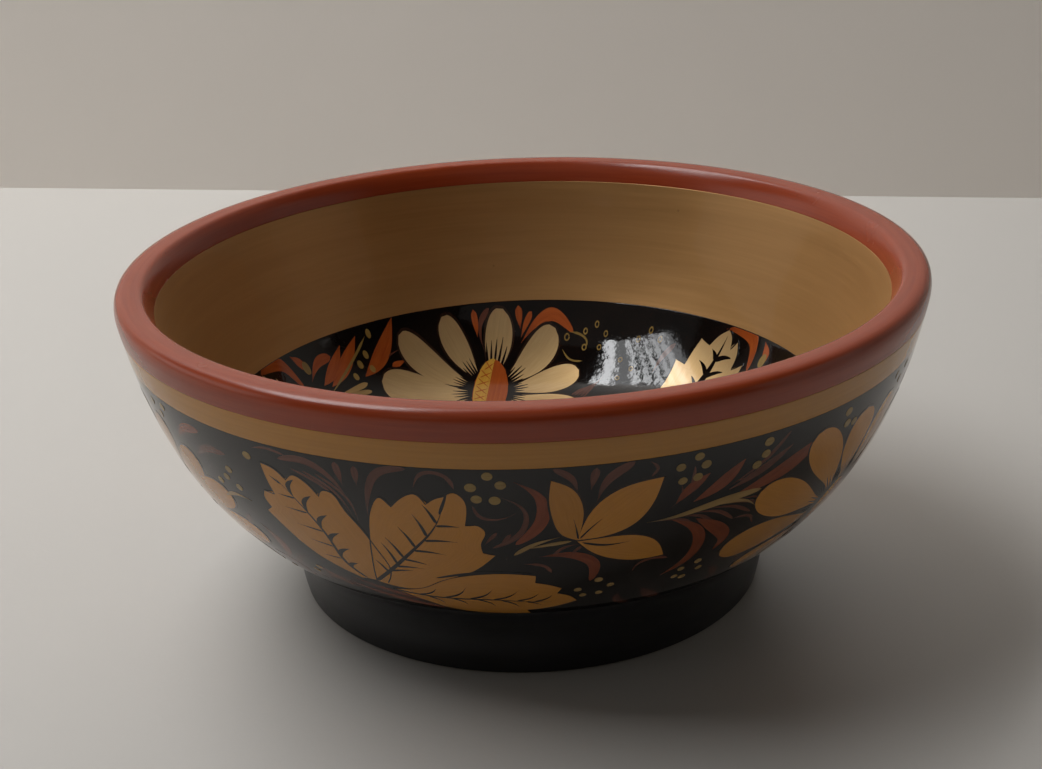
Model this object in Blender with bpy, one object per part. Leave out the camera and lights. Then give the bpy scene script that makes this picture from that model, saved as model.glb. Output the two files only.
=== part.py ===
"""Painted wooden bowl: a turned linden body on a low foot ring, under its coats of lacquer paint.

Metres, +Z up. The turning axis is Z, and the origin is the centre of the standing ring, on the table.
Every outline below is a half section: a list of (radius, height) points. The finished surface runs from
the middle of the underside, out to the foot, up the outside, over the rim and down to the middle of the
well, so that the wood always lies on the left of the direction of travel.
"""
import math

import bmesh
import bpy

MM = 0.001
SEGMENTS = 64                       # facets around the turning axis
SHARP_ANGLE = math.radians(35)      # edges sharper than this stay crisp
WELD_DISTANCE = 0.001 * MM          # points closer than this become one

# Overall size
HEIGHT = 76.0 * MM
FOOT_RADIUS = 55.0 * MM
LIP_RADIUS = 90.4 * MM              # widest circle, just under the rim
LIP_HEIGHT = 72.1 * MM
LIP_TURN = (90.7 * MM, 74.9 * MM)   # the rim's shoulder rises from the lip towards this point
CREST_RADIUS = 87.9 * MM            # highest circle of the rounded rim
CREST_TURN = (89.9 * MM, 76.0 * MM)  # the shoulder reaches the crest level, from this point
RIM_TOP_TURN = (87.0 * MM, 76.0 * MM)     # the rim's top leaves the crest level, towards this point
RIM_TOP_EASE = (86.2 * MM, 75.93 * MM)    # and comes down from this one
RIM_TOP_END = (85.5 * MM, 75.85 * MM)     # the nearly flat top of the rim ends here
RIM_CORNER = (84.5 * MM, 75.7 * MM)       # its inner corner, before rounding
RIM_BAND_START = (83.85 * MM, 74.7 * MM)  # the slanted inner band of the rim starts here
RIM_BAND_TURN = (83.05 * MM, 73.5 * MM)   # it leaves its start towards this point
RIM_BAND_EASE = (82.6 * MM, 71.9 * MM)    # and reaches the gold wall from this one

# Paint layers
COAT = 0.4 * MM                     # thickness of one coat
GAP = 0.3 * MM                      # clearance between a coat and the wood, and between two coats
WOOD_INSET = COAT + GAP

# Underside and foot
UNDERSIDE_HEIGHT = 2.0 * MM         # roof of the shallow recess inside the standing ring
RECESS_RADIUS = 43.0 * MM
RING_INNER_RADIUS = 44.5 * MM
FOOT_EDGE = 0.6 * MM                # broken edge where the foot meets the table
COVE_HEIGHT = 7.5 * MM              # the foot wall turns into the cove here
COVE_SWELL = 0.4 * MM               # how far the foot wall leans out on its way up
COVE_TURN_LOW = (55.6 * MM, 14.0 * MM)   # the cove leaves the foot wall towards this point
COVE_TURN_HIGH = (60.0 * MM, 17.5 * MM)  # and meets the belly's edge from this one

# Belly: from the crisp lower edge of the painted ground to the lip
BELLY_EDGE = (65.3 * MM, 21.0 * MM)
BELLY_TURN_LOW = (68.5 * MM, 24.8 * MM)
BELLY_TURN_HIGH = (83.9 * MM, 35.6 * MM)
OCHRE_BAND_LOW = 64.2 * MM
OCHRE_BAND_HIGH = 69.8 * MM

# Inside: height = floor + depth * (radius / wall radius) ** steepness
FLOOR_HEIGHT = 18.0 * MM
WALL_RADIUS = 82.2 * MM             # top of the gold wall, where the rim coat begins
WALL_HEIGHT = 70.8 * MM
WALL_STEEPNESS = 5.35
WELL_RADIUS = 70.2 * MM             # edge of the black painted well

# Number of straight steps that each stretch of the section is drawn with
FOOT_STEPS = 5
BELLY_STEPS = 6
BAND_STEPS = 1
RIM_STEPS = 4                       # from the ochre band up to the crest
RIM_INNER_STEPS = 8                 # from the crest down to the gold wall
WALL_STEPS = 4
WELL_STEPS = 5
DENSE_STEPS = 200                   # samples of a curve before it is divided evenly


# ---------------------------------------------------------------- half sections

def cubic(start, turn_a, turn_b, end, steps=DENSE_STEPS):
    """Points of a cubic Bezier curve."""
    points = []
    for step in range(steps + 1):
        t = step / steps
        weights = ((1 - t) ** 3, 3 * t * (1 - t) ** 2, 3 * t * t * (1 - t), t ** 3)
        corners = (start, turn_a, turn_b, end)
        radius = sum(w * c[0] for w, c in zip(weights, corners))
        height = sum(w * c[1] for w, c in zip(weights, corners))
        points.append((radius, height))
    return points


def distance(a, b):
    return math.hypot(b[0] - a[0], b[1] - a[1])


def divided(points, steps, trim_start=0.0, trim_end=0.0):
    """The same outline drawn with evenly spaced points, shortened at its ends."""
    lengths = [0.0]
    for a, b in zip(points, points[1:]):
        lengths.append(lengths[-1] + distance(a, b))
    first = trim_start
    last = lengths[-1] - trim_end
    result = []
    index = 0
    for step in range(steps + 1):
        wanted = first + (last - first) * step / steps
        while index < len(points) - 2 and lengths[index + 1] < wanted:
            index += 1
        share = (wanted - lengths[index]) / (lengths[index + 1] - lengths[index])
        a = points[index]
        b = points[index + 1]
        result.append((a[0] + (b[0] - a[0]) * share, a[1] + (b[1] - a[1]) * share))
    return result


def inset(points, depth):
    """The outline moved into the wood, to the left of its direction of travel."""
    result = []
    for index, point in enumerate(points):
        before = points[max(index - 1, 0)]
        after = points[min(index + 1, len(points) - 1)]
        length = distance(before, after)
        normal = (-(after[1] - before[1]) / length, (after[0] - before[0]) / length)
        radius = point[0] + normal[0] * depth if point[0] > 0 else 0.0
        result.append((radius, point[1] + normal[1] * depth))
    return result


def belly_outline():
    """The outside, from the belly's lower edge up to the lip."""
    return cubic(BELLY_EDGE, BELLY_TURN_LOW, BELLY_TURN_HIGH, (LIP_RADIUS, LIP_HEIGHT))


def between_heights(points, low, high):
    return [point for point in points if low <= point[1] <= high]


def rim_outer_outline():
    """The outer half of the rounded rim, from the ochre band up to its crest."""
    below_lip = between_heights(belly_outline(), OCHRE_BAND_HIGH, LIP_HEIGHT)
    shoulder = cubic((LIP_RADIUS, LIP_HEIGHT), LIP_TURN, CREST_TURN, (CREST_RADIUS, HEIGHT))
    return below_lip + shoulder[1:]


def rim_inner_outline():
    """The inner half of the rim: its nearly flat top, a small corner and the band down to the gold wall."""
    top = cubic((CREST_RADIUS, HEIGHT), RIM_TOP_TURN, RIM_TOP_EASE, RIM_TOP_END)
    corner = cubic(RIM_TOP_END, RIM_CORNER, RIM_CORNER, RIM_BAND_START)
    band = cubic(RIM_BAND_START, RIM_BAND_TURN, RIM_BAND_EASE, (WALL_RADIUS, WALL_HEIGHT))
    return top + corner[1:] + band[1:]


def inner_height(radius):
    return FLOOR_HEIGHT + (WALL_HEIGHT - FLOOR_HEIGHT) * (radius / WALL_RADIUS) ** WALL_STEEPNESS


def inside_outline(outer_radius, inner_radius):
    """The inside surface between two radii, from the wall towards the middle."""
    span = outer_radius - inner_radius
    radii = [outer_radius - span * step / DENSE_STEPS for step in range(DENSE_STEPS + 1)]
    return [(radius, inner_height(radius)) for radius in radii]


def foot_outline():
    """The foot wall and the cove under the belly, from the table up."""
    wall_top = (FOOT_RADIUS + COVE_SWELL, COVE_HEIGHT)
    cove = cubic(wall_top, COVE_TURN_LOW, COVE_TURN_HIGH, BELLY_EDGE)
    return [(FOOT_RADIUS - FOOT_EDGE, GAP), (FOOT_RADIUS, GAP + FOOT_EDGE)] + cove


def finished_sections():
    """The painted stretches of the finished surface, each as evenly spaced points."""
    half = GAP / 2
    belly = belly_outline()
    black = between_heights(belly, BELLY_EDGE[1], OCHRE_BAND_LOW)
    ochre = between_heights(belly, OCHRE_BAND_LOW, OCHRE_BAND_HIGH)
    rim = divided(rim_outer_outline(), RIM_STEPS, half, 0.0)
    rim += divided(rim_inner_outline(), RIM_INNER_STEPS, 0.0, half)[1:]
    underside = [(0.0, UNDERSIDE_HEIGHT), (RECESS_RADIUS, UNDERSIDE_HEIGHT),
                 (RING_INNER_RADIUS, GAP)]
    return {
        "underside_black_coat": underside,
        "foot_black_coat": divided(foot_outline(), FOOT_STEPS, 0.0, half),
        "outer_black_ground": divided(black, BELLY_STEPS, half, half),
        "outer_ochre_band": divided(ochre, BAND_STEPS, half, half),
        "rim_red_coat": rim,
        "inner_gold_coat": divided(inside_outline(WALL_RADIUS, WELL_RADIUS), WALL_STEPS, half, half),
        "well_black_coat": divided(inside_outline(WELL_RADIUS, 0.0), WELL_STEPS, half, 0.0),
    }


def coat_outline(surface):
    """A closed half section of one coat: its surface, then its back."""
    back = inset(surface, COAT)
    return surface + back[::-1]


def body_outline(sections):
    """The wood's half section: every painted stretch set back, and the bare standing ring."""
    outline = []
    for name, surface in sections.items():
        outline += inset(surface, WOOD_INSET)
        if name == "underside_black_coat":
            outline.append((RING_INNER_RADIUS + WOOD_INSET, 0.0))
            outline.append((FOOT_RADIUS - FOOT_EDGE - WOOD_INSET, 0.0))
    return outline


# ---------------------------------------------------------------- solids

def clear_scene():
    for item in list(bpy.data.objects):
        bpy.data.objects.remove(item, do_unlink=True)


def material(name, colour, roughness, metallic=0.0, coat=0.0):
    made = bpy.data.materials.new(name)
    made.use_nodes = True
    made.diffuse_color = (*colour, 1.0)
    shader = made.node_tree.nodes["Principled BSDF"]
    shader.inputs["Base Color"].default_value = (*colour, 1.0)
    shader.inputs["Roughness"].default_value = roughness
    shader.inputs["Metallic"].default_value = metallic
    shader.inputs["Coat Weight"].default_value = coat
    return made


def turned(name, outline, finish):
    """Spin a half section once around Z into one closed solid."""
    spun = bmesh.new()
    corners = [spun.verts.new((radius, 0.0, height)) for radius, height in outline]
    sides = [spun.edges.new(pair) for pair in zip(corners, corners[1:])]
    touches_axis = outline[0][0] == 0.0 and outline[-1][0] == 0.0
    if not touches_axis:
        sides.append(spun.edges.new((corners[-1], corners[0])))
    bmesh.ops.spin(spun, geom=corners + sides, cent=(0, 0, 0), axis=(0, 0, 1),
                   angle=2 * math.pi, steps=SEGMENTS, use_merge=True)
    bmesh.ops.remove_doubles(spun, verts=spun.verts, dist=WELD_DISTANCE)
    bmesh.ops.recalc_face_normals(spun, faces=spun.faces)
    mesh = bpy.data.meshes.new(name)
    spun.to_mesh(mesh)
    spun.free()
    mesh.shade_smooth()
    mesh.set_sharp_from_angle(angle=SHARP_ANGLE)
    mesh.materials.append(finish)
    solid = bpy.data.objects.new(name, mesh)
    bpy.context.collection.objects.link(solid)
    return solid


def build():
    clear_scene()
    wood = material("linden_wood", (0.62, 0.44, 0.26), 0.6)
    cinnabar = material("cinnabar_lacquer", (0.40, 0.06, 0.02), 0.22, coat=1.0)
    ochre = material("ochre_lacquer", (0.36, 0.19, 0.06), 0.28, metallic=0.35, coat=1.0)
    gold = material("gold_lacquer", (0.30, 0.21, 0.11), 0.38, metallic=0.75, coat=0.6)
    black = material("black_lacquer", (0.010, 0.007, 0.006), 0.12, coat=1.0)
    satin_black = material("satin_black_paint", (0.012, 0.012, 0.014), 0.5)
    finishes = {
        "underside_black_coat": satin_black,
        "foot_black_coat": satin_black,
        "outer_black_ground": black,
        "outer_ochre_band": ochre,
        "rim_red_coat": cinnabar,
        "inner_gold_coat": gold,
        "well_black_coat": black,
    }
    sections = finished_sections()
    turned("turned_body", body_outline(sections), wood)
    for name, surface in sections.items():
        turned(name, coat_outline(surface), finishes[name])


build()
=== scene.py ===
import math
import random

import bpy
import numpy as np
from mathutils import Matrix, Vector


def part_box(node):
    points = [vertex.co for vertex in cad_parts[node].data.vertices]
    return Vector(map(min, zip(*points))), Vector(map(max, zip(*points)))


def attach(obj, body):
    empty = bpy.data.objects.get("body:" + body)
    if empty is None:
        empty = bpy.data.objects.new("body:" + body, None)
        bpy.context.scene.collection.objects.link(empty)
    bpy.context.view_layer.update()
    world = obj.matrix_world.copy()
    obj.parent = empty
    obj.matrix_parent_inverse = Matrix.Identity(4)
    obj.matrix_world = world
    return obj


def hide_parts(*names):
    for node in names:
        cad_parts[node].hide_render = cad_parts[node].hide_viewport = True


# Looks for the painted wooden bowl: fine turned coats, brush-painted ornament, and a plain studio.
# Everything is in metres in the part's own frame. The ornament is laid out flat and wrapped on the bowl:
# outside, a point is (degrees round the bowl, millimetres up the belly from its lower edge);
# in the well, a point is (x, y) in millimetres as seen from straight above.

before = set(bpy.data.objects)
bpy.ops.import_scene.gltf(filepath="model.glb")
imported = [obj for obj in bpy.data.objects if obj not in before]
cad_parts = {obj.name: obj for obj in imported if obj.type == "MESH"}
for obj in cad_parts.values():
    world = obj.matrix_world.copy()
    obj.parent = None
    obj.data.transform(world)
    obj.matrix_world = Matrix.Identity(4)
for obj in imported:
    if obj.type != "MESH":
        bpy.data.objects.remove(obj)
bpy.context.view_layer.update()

MM = 0.001
BODY = "root"
random.seed(7)

# Mesh fineness
AROUND = 288                        # facets round the bowl
ROW_STEP = 0.9                      # mm between the rows of a coat
RIM_ROW_STEP = 0.4                  # mm between the rows round the rim's small corner
SPINE_STEP = 0.55                   # mm between the points of a brush stroke
RIB_STEP = 1.8                      # mm between the columns of a broad stroke
EDGE_STEP = 0.22                    # mm of sloping edge on a broad stroke
STROKE_FOOT = -0.02                 # mm: every stroke is rooted this far inside its coat

# Ornament layout
REPEATS = 3                         # the painted composition comes three times round
PITCH = 360.0 / REPEATS
BELLY_RADIUS = 81.0                 # mm: a degree round the belly is drawn as this circle's arc
DEGREE = math.radians(BELLY_RADIUS)  # mm per degree of layout

# Coats, in order along the finished outline from the table up, over the rim and down to the well
COATS = ["foot_black_coat", "outer_black_ground", "outer_ochre_band", "rim_red_coat",
         "inner_gold_coat", "well_black_coat"]
COAT_SKIN = 0.5 * MM                # finished points lie further than this from the wood's outline
WOOD_DEPTH = 0.7                    # mm of ground and paint over the wood


# ---------------------------------------------------------------- the finished outline, read off the frame

def ring_points(node):
    """The (radius, height) of every ring of vertices of a turned CAD node."""
    points = []
    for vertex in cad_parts[node].data.vertices:
        point = (math.hypot(vertex.co.x, vertex.co.y), vertex.co.z)
        if all(math.dist(point, known) > 0.01 * MM for known in points):
            points.append(point)
    return points


def chained(points, start):
    """The points in order, each one the nearest to the one before it."""
    left = list(points)
    chain = []
    here = start
    while left:
        here = min(left, key=lambda point: math.dist(point, here))
        left.remove(here)
        chain.append(here)
    return chain


def finished_chains():
    """Each coat's finished surface as a chain of (radius, height) points."""
    wood = ring_points("turned_body")
    here = (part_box("foot_black_coat")[1].x, 0.0)
    chains = {}
    for coat in COATS:
        front = [point for point in ring_points(coat)
                 if min(math.dist(point, inner) for inner in wood) > COAT_SKIN]
        chains[coat] = chained(front, here)
        here = chains[coat][-1]
    return chains


class Outline:
    """A smooth curve through half-section points, measured in mm along it."""

    def __init__(self, points):
        self.points = np.array(points) / MM
        steps = np.hypot(*np.diff(self.points, axis=0).T)
        self.knots = np.concatenate([[0.0], np.cumsum(steps)])
        self.bends = self.second_derivatives(steps)
        self.length = self.knots[-1]

    def second_derivatives(self, steps):
        """The natural cubic spline's second derivatives at the knots."""
        count = len(self.knots)
        system = np.eye(count)
        known = np.zeros((count, 2))
        for k in range(1, count - 1):
            before, after = steps[k - 1], steps[k]
            system[k, k - 1:k + 2] = (before, 2 * (before + after), after)
            rise = (self.points[k + 1] - self.points[k]) / after
            known[k] = 6 * (rise - (self.points[k] - self.points[k - 1]) / before)
        return np.linalg.solve(system, known)

    def at(self, distance):
        """(radius, height) in mm at each distance."""
        distance = np.atleast_1d(np.asarray(distance, float))
        k = np.clip(np.searchsorted(self.knots, distance) - 1, 0, len(self.knots) - 2)
        step = (self.knots[k + 1] - self.knots[k])[:, None]
        b = (distance[:, None] - self.knots[k][:, None]) / step
        a = 1 - b
        curve = a * self.points[k] + b * self.points[k + 1]
        bend = (a ** 3 - a) * self.bends[k] + (b ** 3 - b) * self.bends[k + 1]
        return curve + bend * step ** 2 / 6

    def normal(self, distance):
        """The outward normal (away from the wood) at each distance."""
        nudge = 0.05
        ahead = self.at(distance + nudge) - self.at(distance - nudge)
        ahead /= np.hypot(*ahead.T)[:, None]
        return np.stack([ahead[:, 1], -ahead[:, 0]], axis=1)


def build_outlines():
    """The foot's outline, the painted outline above it, and each coat's span along them in mm."""
    chains = finished_chains()
    foot = chains["foot_black_coat"]
    upper = []
    ends = {}
    junction = [(a + b) / 2 for a, b in zip(foot[-1], chains["outer_black_ground"][0])]
    upper.append(tuple(junction))
    for coat in COATS[1:]:
        start = len(upper)
        upper += chains[coat]
        ends[coat] = (start, len(upper) - 1)
    centre = upper[-1]
    before = upper[-2]
    upper.append((-before[0], before[1]))        # the well is level at its centre
    painted = Outline(upper)
    footing = Outline(foot + [tuple(junction)])
    marks = [0.0]
    for coat, following in zip(COATS[1:], COATS[2:]):
        last = painted.knots[ends[coat][1]]
        first = painted.knots[ends[following][0]]
        marks.append((last + first) / 2)
    marks.append(painted.knots[upper.index(centre)])
    spans = {coat: (marks[k], marks[k + 1]) for k, coat in enumerate(COATS[1:])}
    spans["foot_black_coat"] = (0.0, footing.length)
    return footing, painted, spans


FOOTING, PAINTED, SPANS = build_outlines()
WELL_RUN = np.linspace(SPANS["rim_red_coat"][1], SPANS["well_black_coat"][1], 400)
WELL_RADII = PAINTED.at(WELL_RUN)[:, 0]


def turned_points(outline, distance, angle, lift):
    """World points at a distance along an outline, an angle in radians, and a lift in mm."""
    radius, height = outline.at(distance).T
    out, up = outline.normal(distance).T
    radius = radius + lift * out
    height = height + lift * up
    return np.stack([radius * np.cos(angle), radius * np.sin(angle), height], axis=1) * MM


def on_belly(points, lift):
    """Wrap layout points (mm round the belly circle, mm up the belly) on the outside."""
    low, high = SPANS["outer_black_ground"]
    distance = np.clip(low + points[:, 1], low + 0.1, high - 0.1)
    return turned_points(PAINTED, distance, points[:, 0] / BELLY_RADIUS, lift)


def in_well(points, lift):
    """Drop layout points (x, y in mm) straight down on the inside of the well."""
    radius = np.hypot(points[:, 0], points[:, 1])
    edge = PAINTED.at(SPANS["well_black_coat"][0])[0, 0] - 0.1
    distance = np.interp(-np.minimum(radius, edge), -WELL_RADII, WELL_RUN)
    angle = np.arctan2(points[:, 1], points[:, 0])
    return turned_points(PAINTED, distance, angle, lift)


# ---------------------------------------------------------------- node helpers

class Shader:
    """Short calls for building one node material."""

    def __init__(self, name):
        self.material = bpy.data.materials.new(name)
        self.material.use_nodes = True
        self.tree = self.material.node_tree
        self.principled = self.tree.nodes["Principled BSDF"]

    def node(self, kind, **settings):
        made = self.tree.nodes.new(kind)
        for key, value in settings.items():
            setattr(made, key, value)
        return made

    def link(self, source, target):
        self.tree.links.new(source, target)

    def feed(self, socket, value):
        if isinstance(value, bpy.types.NodeSocket):
            self.link(value, socket)
        elif isinstance(value, tuple) and socket.type == "RGBA":
            socket.default_value = (*value, 1.0)
        else:
            socket.default_value = value

    def attribute(self, name):
        return self.node("ShaderNodeAttribute", attribute_name=name).outputs["Vector"]

    def position(self):
        return self.node("ShaderNodeNewGeometry").outputs["Position"]

    def scaled(self, vector, scale):
        made = self.node("ShaderNodeVectorMath", operation="MULTIPLY")
        self.feed(made.inputs[0], vector)
        made.inputs[1].default_value = scale
        return made.outputs[0]

    def noise(self, vector, scale, detail=3.0, roughness=0.55):
        made = self.node("ShaderNodeTexNoise")
        self.feed(made.inputs["Vector"], vector)
        made.inputs["Scale"].default_value = scale
        made.inputs["Detail"].default_value = detail
        made.inputs["Roughness"].default_value = roughness
        return made.outputs["Fac"]

    def specks(self, vector, scale, size, share):
        """1 inside small scattered dots, 0 elsewhere: a share of the cells holds a dot."""
        cells = self.node("ShaderNodeTexVoronoi", feature="F1")
        self.feed(cells.inputs["Vector"], vector)
        cells.inputs["Scale"].default_value = scale
        dot = self.ranged(cells.outputs["Distance"], size, size * 0.5, 0.0, 1.0)
        chosen = self.node("ShaderNodeSeparateColor")
        self.feed(chosen.inputs[0], cells.outputs["Color"])
        kept = self.maths("LESS_THAN", chosen.outputs[0], share)
        return self.maths("MULTIPLY", dot, kept)

    def ranged(self, value, low, high, to_low, to_high):
        made = self.node("ShaderNodeMapRange", clamp=True)
        for name, item in zip(("Value", "From Min", "From Max", "To Min", "To Max"),
                              (value, low, high, to_low, to_high)):
            self.feed(made.inputs[name], item)
        return made.outputs["Result"]

    def maths(self, operation, a, b):
        made = self.node("ShaderNodeMath", operation=operation)
        self.feed(made.inputs[0], a)
        self.feed(made.inputs[1], b)
        return made.outputs[0]

    def mix(self, share, a, b, blend="MIX"):
        made = self.node("ShaderNodeMix", data_type="RGBA", blend_type=blend)
        self.feed(made.inputs[0], share)
        self.feed(made.inputs[6], a)
        self.feed(made.inputs[7], b)
        return made.outputs[2]

    def grey(self, value):
        made = self.node("ShaderNodeCombineColor")
        for socket in made.inputs[:3]:
            self.feed(socket, value)
        return made.outputs[0]

    def bump(self, height, depth, normal=None):
        made = self.node("ShaderNodeBump")
        made.inputs["Distance"].default_value = depth * MM
        self.feed(made.inputs["Height"], height)
        if normal is not None:
            self.link(normal, made.inputs["Normal"])
        return made.outputs["Normal"]

    def over(self, colour, tint, mask, low, high, share=1.0):
        """The colour, going over to the tint where the mask rises from low to high."""
        return self.mix(self.ranged(mask, low, high, 0.0, share), colour, tint)

    def flecked(self, colour, tint, flecks, share):
        return self.mix(self.maths("MULTIPLY", flecks, share), colour, tint)

    def set(self, **values):
        for key, value in values.items():
            self.feed(self.principled.inputs[key.replace("_", " ").title().replace("Ior", "IOR")], value)


def lacquer_film(shader, under=None, orange_peel=0.010, crinkle=0.0, level=None, gloss=(0.035, 0.085)):
    """The baked varnish over everything: a glossy coat with faint unevenness, dust nibs and smears."""
    place = shader.position()
    peel = shader.noise(place, 260.0, 3.0)
    normal = shader.bump(peel, orange_peel, level)
    if crinkle:
        waves = shader.noise(shader.scaled(place, (0.7, 1.0, 1.0)), 520.0, 3.0)
        normal = shader.bump(waves, crinkle, normal)
    nibs = shader.specks(place, 190.0, 0.06, 0.05)
    normal = shader.bump(nibs, 0.03, normal)
    smear = shader.noise(place, 45.0, 4.0)
    shader.set(coat_weight=1.0, coat_normal=normal, specular_ior_level=0.0,
               coat_roughness=shader.ranged(smear, 0.3, 0.75, *gloss))
    if under is None:
        shader.set(normal=normal)
    return normal


# ---------------------------------------------------------------- materials

def black_ground(name, crinkle=0.0):
    """Deep black oil paint with a brown cast where the varnish lies thicker."""
    shader = Shader(name)
    place = shader.position()
    tone = shader.noise(place, 70.0, 4.0)
    colour = shader.over((0.0045, 0.0034, 0.003), (0.010, 0.006, 0.0045), tone, 0.35, 0.7)
    dust = shader.specks(place, 420.0, 0.09, 0.03)
    colour = shader.flecked(colour, (0.10, 0.08, 0.06), dust, 0.4)
    lacquer_film(shader, crinkle=crinkle)
    shader.set(base_color=colour, roughness=0.32)
    return shader.material


def turned_gold():
    """Metal powder under amber varnish, rubbed on as the bowl turned: fine streaks round the wall."""
    shader = Shader("turned_gold_lacquer")
    turned = shader.attribute("turned")
    place = shader.position()
    fine = shader.noise(shader.scaled(turned, (1.5, 3.0, 3.0)), 1.0, 3.0, 0.5)
    broad = shader.noise(shader.scaled(turned, (0.30, 1.6, 1.6)), 1.0, 3.0)
    cloud = shader.noise(place, 28.0, 3.0)
    colour = shader.over((0.46, 0.250, 0.090), (0.51, 0.282, 0.104), fine, 0.3, 0.7)
    colour = shader.over(colour, (0.40, 0.212, 0.074), broad, 0.35, 0.7, 0.4)
    colour = shader.over(colour, (0.48, 0.265, 0.112), cloud, 0.45, 0.75, 0.35)
    pits = shader.specks(place, 260.0, 0.10, 0.02)
    colour = shader.flecked(colour, (0.12, 0.065, 0.03), pits, 0.35)
    lumps = shader.specks(place, 90.0, 0.07, 0.03)
    streaks = shader.bump(fine, 0.0015)
    streaks = shader.bump(lumps, 0.12, streaks)
    lacquer_film(shader, under=streaks, orange_peel=0.014)
    shader.set(base_color=colour, metallic=0.55, normal=streaks,
               roughness=shader.ranged(fine, 0.3, 0.75, 0.38, 0.48), coat_weight=0.16,
               specular_ior_level=0.3)
    return shader.material


def banded_paint(name, light, dark, gloss):
    """Paint laid on while the bowl turned: soft streaks run round it."""
    shader = Shader(name)
    turned = shader.attribute("turned")
    place = shader.position()
    streak = shader.noise(shader.scaled(turned, (1.6, 3.5, 3.5)), 1.0, 4.0, 0.6)
    cloud = shader.noise(place, 55.0, 4.0)
    colour = shader.over(dark, light, streak, 0.3, 0.72)
    colour = shader.over(colour, dark, cloud, 0.4, 0.75, 0.4)
    specks = shader.specks(place, 300.0, 0.09, 0.03)
    colour = shader.flecked(colour, (0.03, 0.012, 0.008), specks, 0.6)
    lacquer_film(shader, gloss=gloss)
    shader.set(base_color=colour, roughness=0.4)
    return shader.material


THIN_TAIL = 0.35                     # this share of a stroke's length fades to its tail colour


def brushed_paint(name, light, dark, tail, metallic=0.0, roughness=0.4):
    """Oil paint put on with a soft brush: bristle marks along the stroke, thinner at its tail."""
    shader = Shader(name)
    brush = shader.attribute("brush")
    reach = shader.attribute("reach")
    bristle = shader.noise(shader.scaled(brush, (0.16, 2.4, 7.0)), 1.0, 4.0, 0.6)
    pooled = shader.noise(shader.position(), 190.0, 3.0)
    colour = shader.over(dark, light, bristle, 0.3, 0.72)
    colour = shader.over(colour, dark, pooled, 0.45, 0.75, 0.35)
    split = shader.node("ShaderNodeSeparateXYZ")
    shader.link(reach, split.inputs[0])
    colour = shader.mix(shader.ranged(split.outputs[0], 0.0, THIN_TAIL, 0.85, 0.0), colour, tail)
    shade = shader.ranged(split.outputs[1], 0.0, 1.0, 0.86, 1.1)
    colour = shader.mix(1.0, colour, shader.grey(shade), "MULTIPLY")
    lacquer_film(shader, level=shader.bump(bristle, 0.006, shader.attribute("facing")))
    shader.set(base_color=colour, roughness=roughness, metallic=metallic)
    return shader.material


def satin_foot():
    """Plain black paint on the foot: satin, with a cool bloom and fine turning lines."""
    shader = Shader("satin_black_foot")
    place = shader.position()
    rings = shader.noise(shader.scaled(shader.attribute("turned"), (2.2, 1.2, 1.2)), 1.0, 4.0, 0.6)
    bloom = shader.noise(place, 60.0, 4.0)
    colour = shader.over((0.0060, 0.0058, 0.0068), (0.011, 0.011, 0.013), bloom, 0.35, 0.7)
    colour = shader.over(colour, (0.018, 0.017, 0.018), rings, 0.55, 0.8, 0.5)
    normal = shader.bump(rings, 0.025)
    shader.set(base_color=colour, roughness=shader.ranged(bloom, 0.3, 0.7, 0.34, 0.48), normal=normal,
               coat_weight=0.25, coat_roughness=0.3)
    return shader.material


def underside_paint():
    """Brushed black paint in the recess, thinner than the foot's, with the brush's sweep showing."""
    shader = Shader("brushed_black_underside")
    place = shader.position()
    sweep = shader.noise(shader.scaled(place, (0.15, 1.0, 1.0)), 500.0, 4.0, 0.6)
    bloom = shader.noise(place, 80.0, 4.0)
    colour = shader.over((0.006, 0.006, 0.007), (0.013, 0.012, 0.012), bloom, 0.35, 0.7)
    shader.set(base_color=colour, roughness=shader.ranged(sweep, 0.3, 0.7, 0.38, 0.55),
               normal=shader.bump(sweep, 0.03))
    return shader.material


def bare_wood():
    """Pale linden with close rings, seen only on the standing ring."""
    shader = Shader("bare_linden")
    place = shader.position()
    rings = shader.noise(shader.scaled(place, (1.0, 0.12, 0.3)), 420.0, 4.0, 0.6)
    pores = shader.noise(place, 1500.0, 2.0)
    colour = shader.over((0.42, 0.27, 0.14), (0.62, 0.45, 0.27), rings, 0.3, 0.7)
    colour = shader.over(colour, (0.25, 0.15, 0.08), pores, 0.6, 0.8, 0.5)
    shader.set(base_color=colour, roughness=0.62, normal=shader.bump(rings, 0.02))
    return shader.material


# ---------------------------------------------------------------- coats

def grid_faces(rows, columns, closed):
    """Quads of a grid stored row by row; with closed, the last column joins the first."""
    faces = []
    span = columns if closed else columns - 1
    for row in range(rows - 1):
        for column in range(span):
            following = (column + 1) % columns
            a = row * columns + column
            b = row * columns + following
            faces.append((a, b, b + columns, a + columns))
    return faces


def new_piece(name, vertices, faces, material, slot):
    mesh = bpy.data.meshes.new(name)
    mesh.from_pydata([tuple(v) for v in vertices], [], faces)
    mesh.shade_smooth()
    mesh.set_sharp_from_angle(angle=math.radians(40))
    mesh.materials.append(material)
    piece = bpy.data.objects.new(name, mesh)
    bpy.context.collection.objects.link(piece)
    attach(piece, BODY)
    return piece


def wavering(angle, seed, size):
    """A hand-held band line's small wander in mm, the same at both ends of the turn."""
    wander = sum(math.sin(k * angle + seed * k * k) / k for k in (2, 3, 5, 9, 14))
    return size * wander


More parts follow.
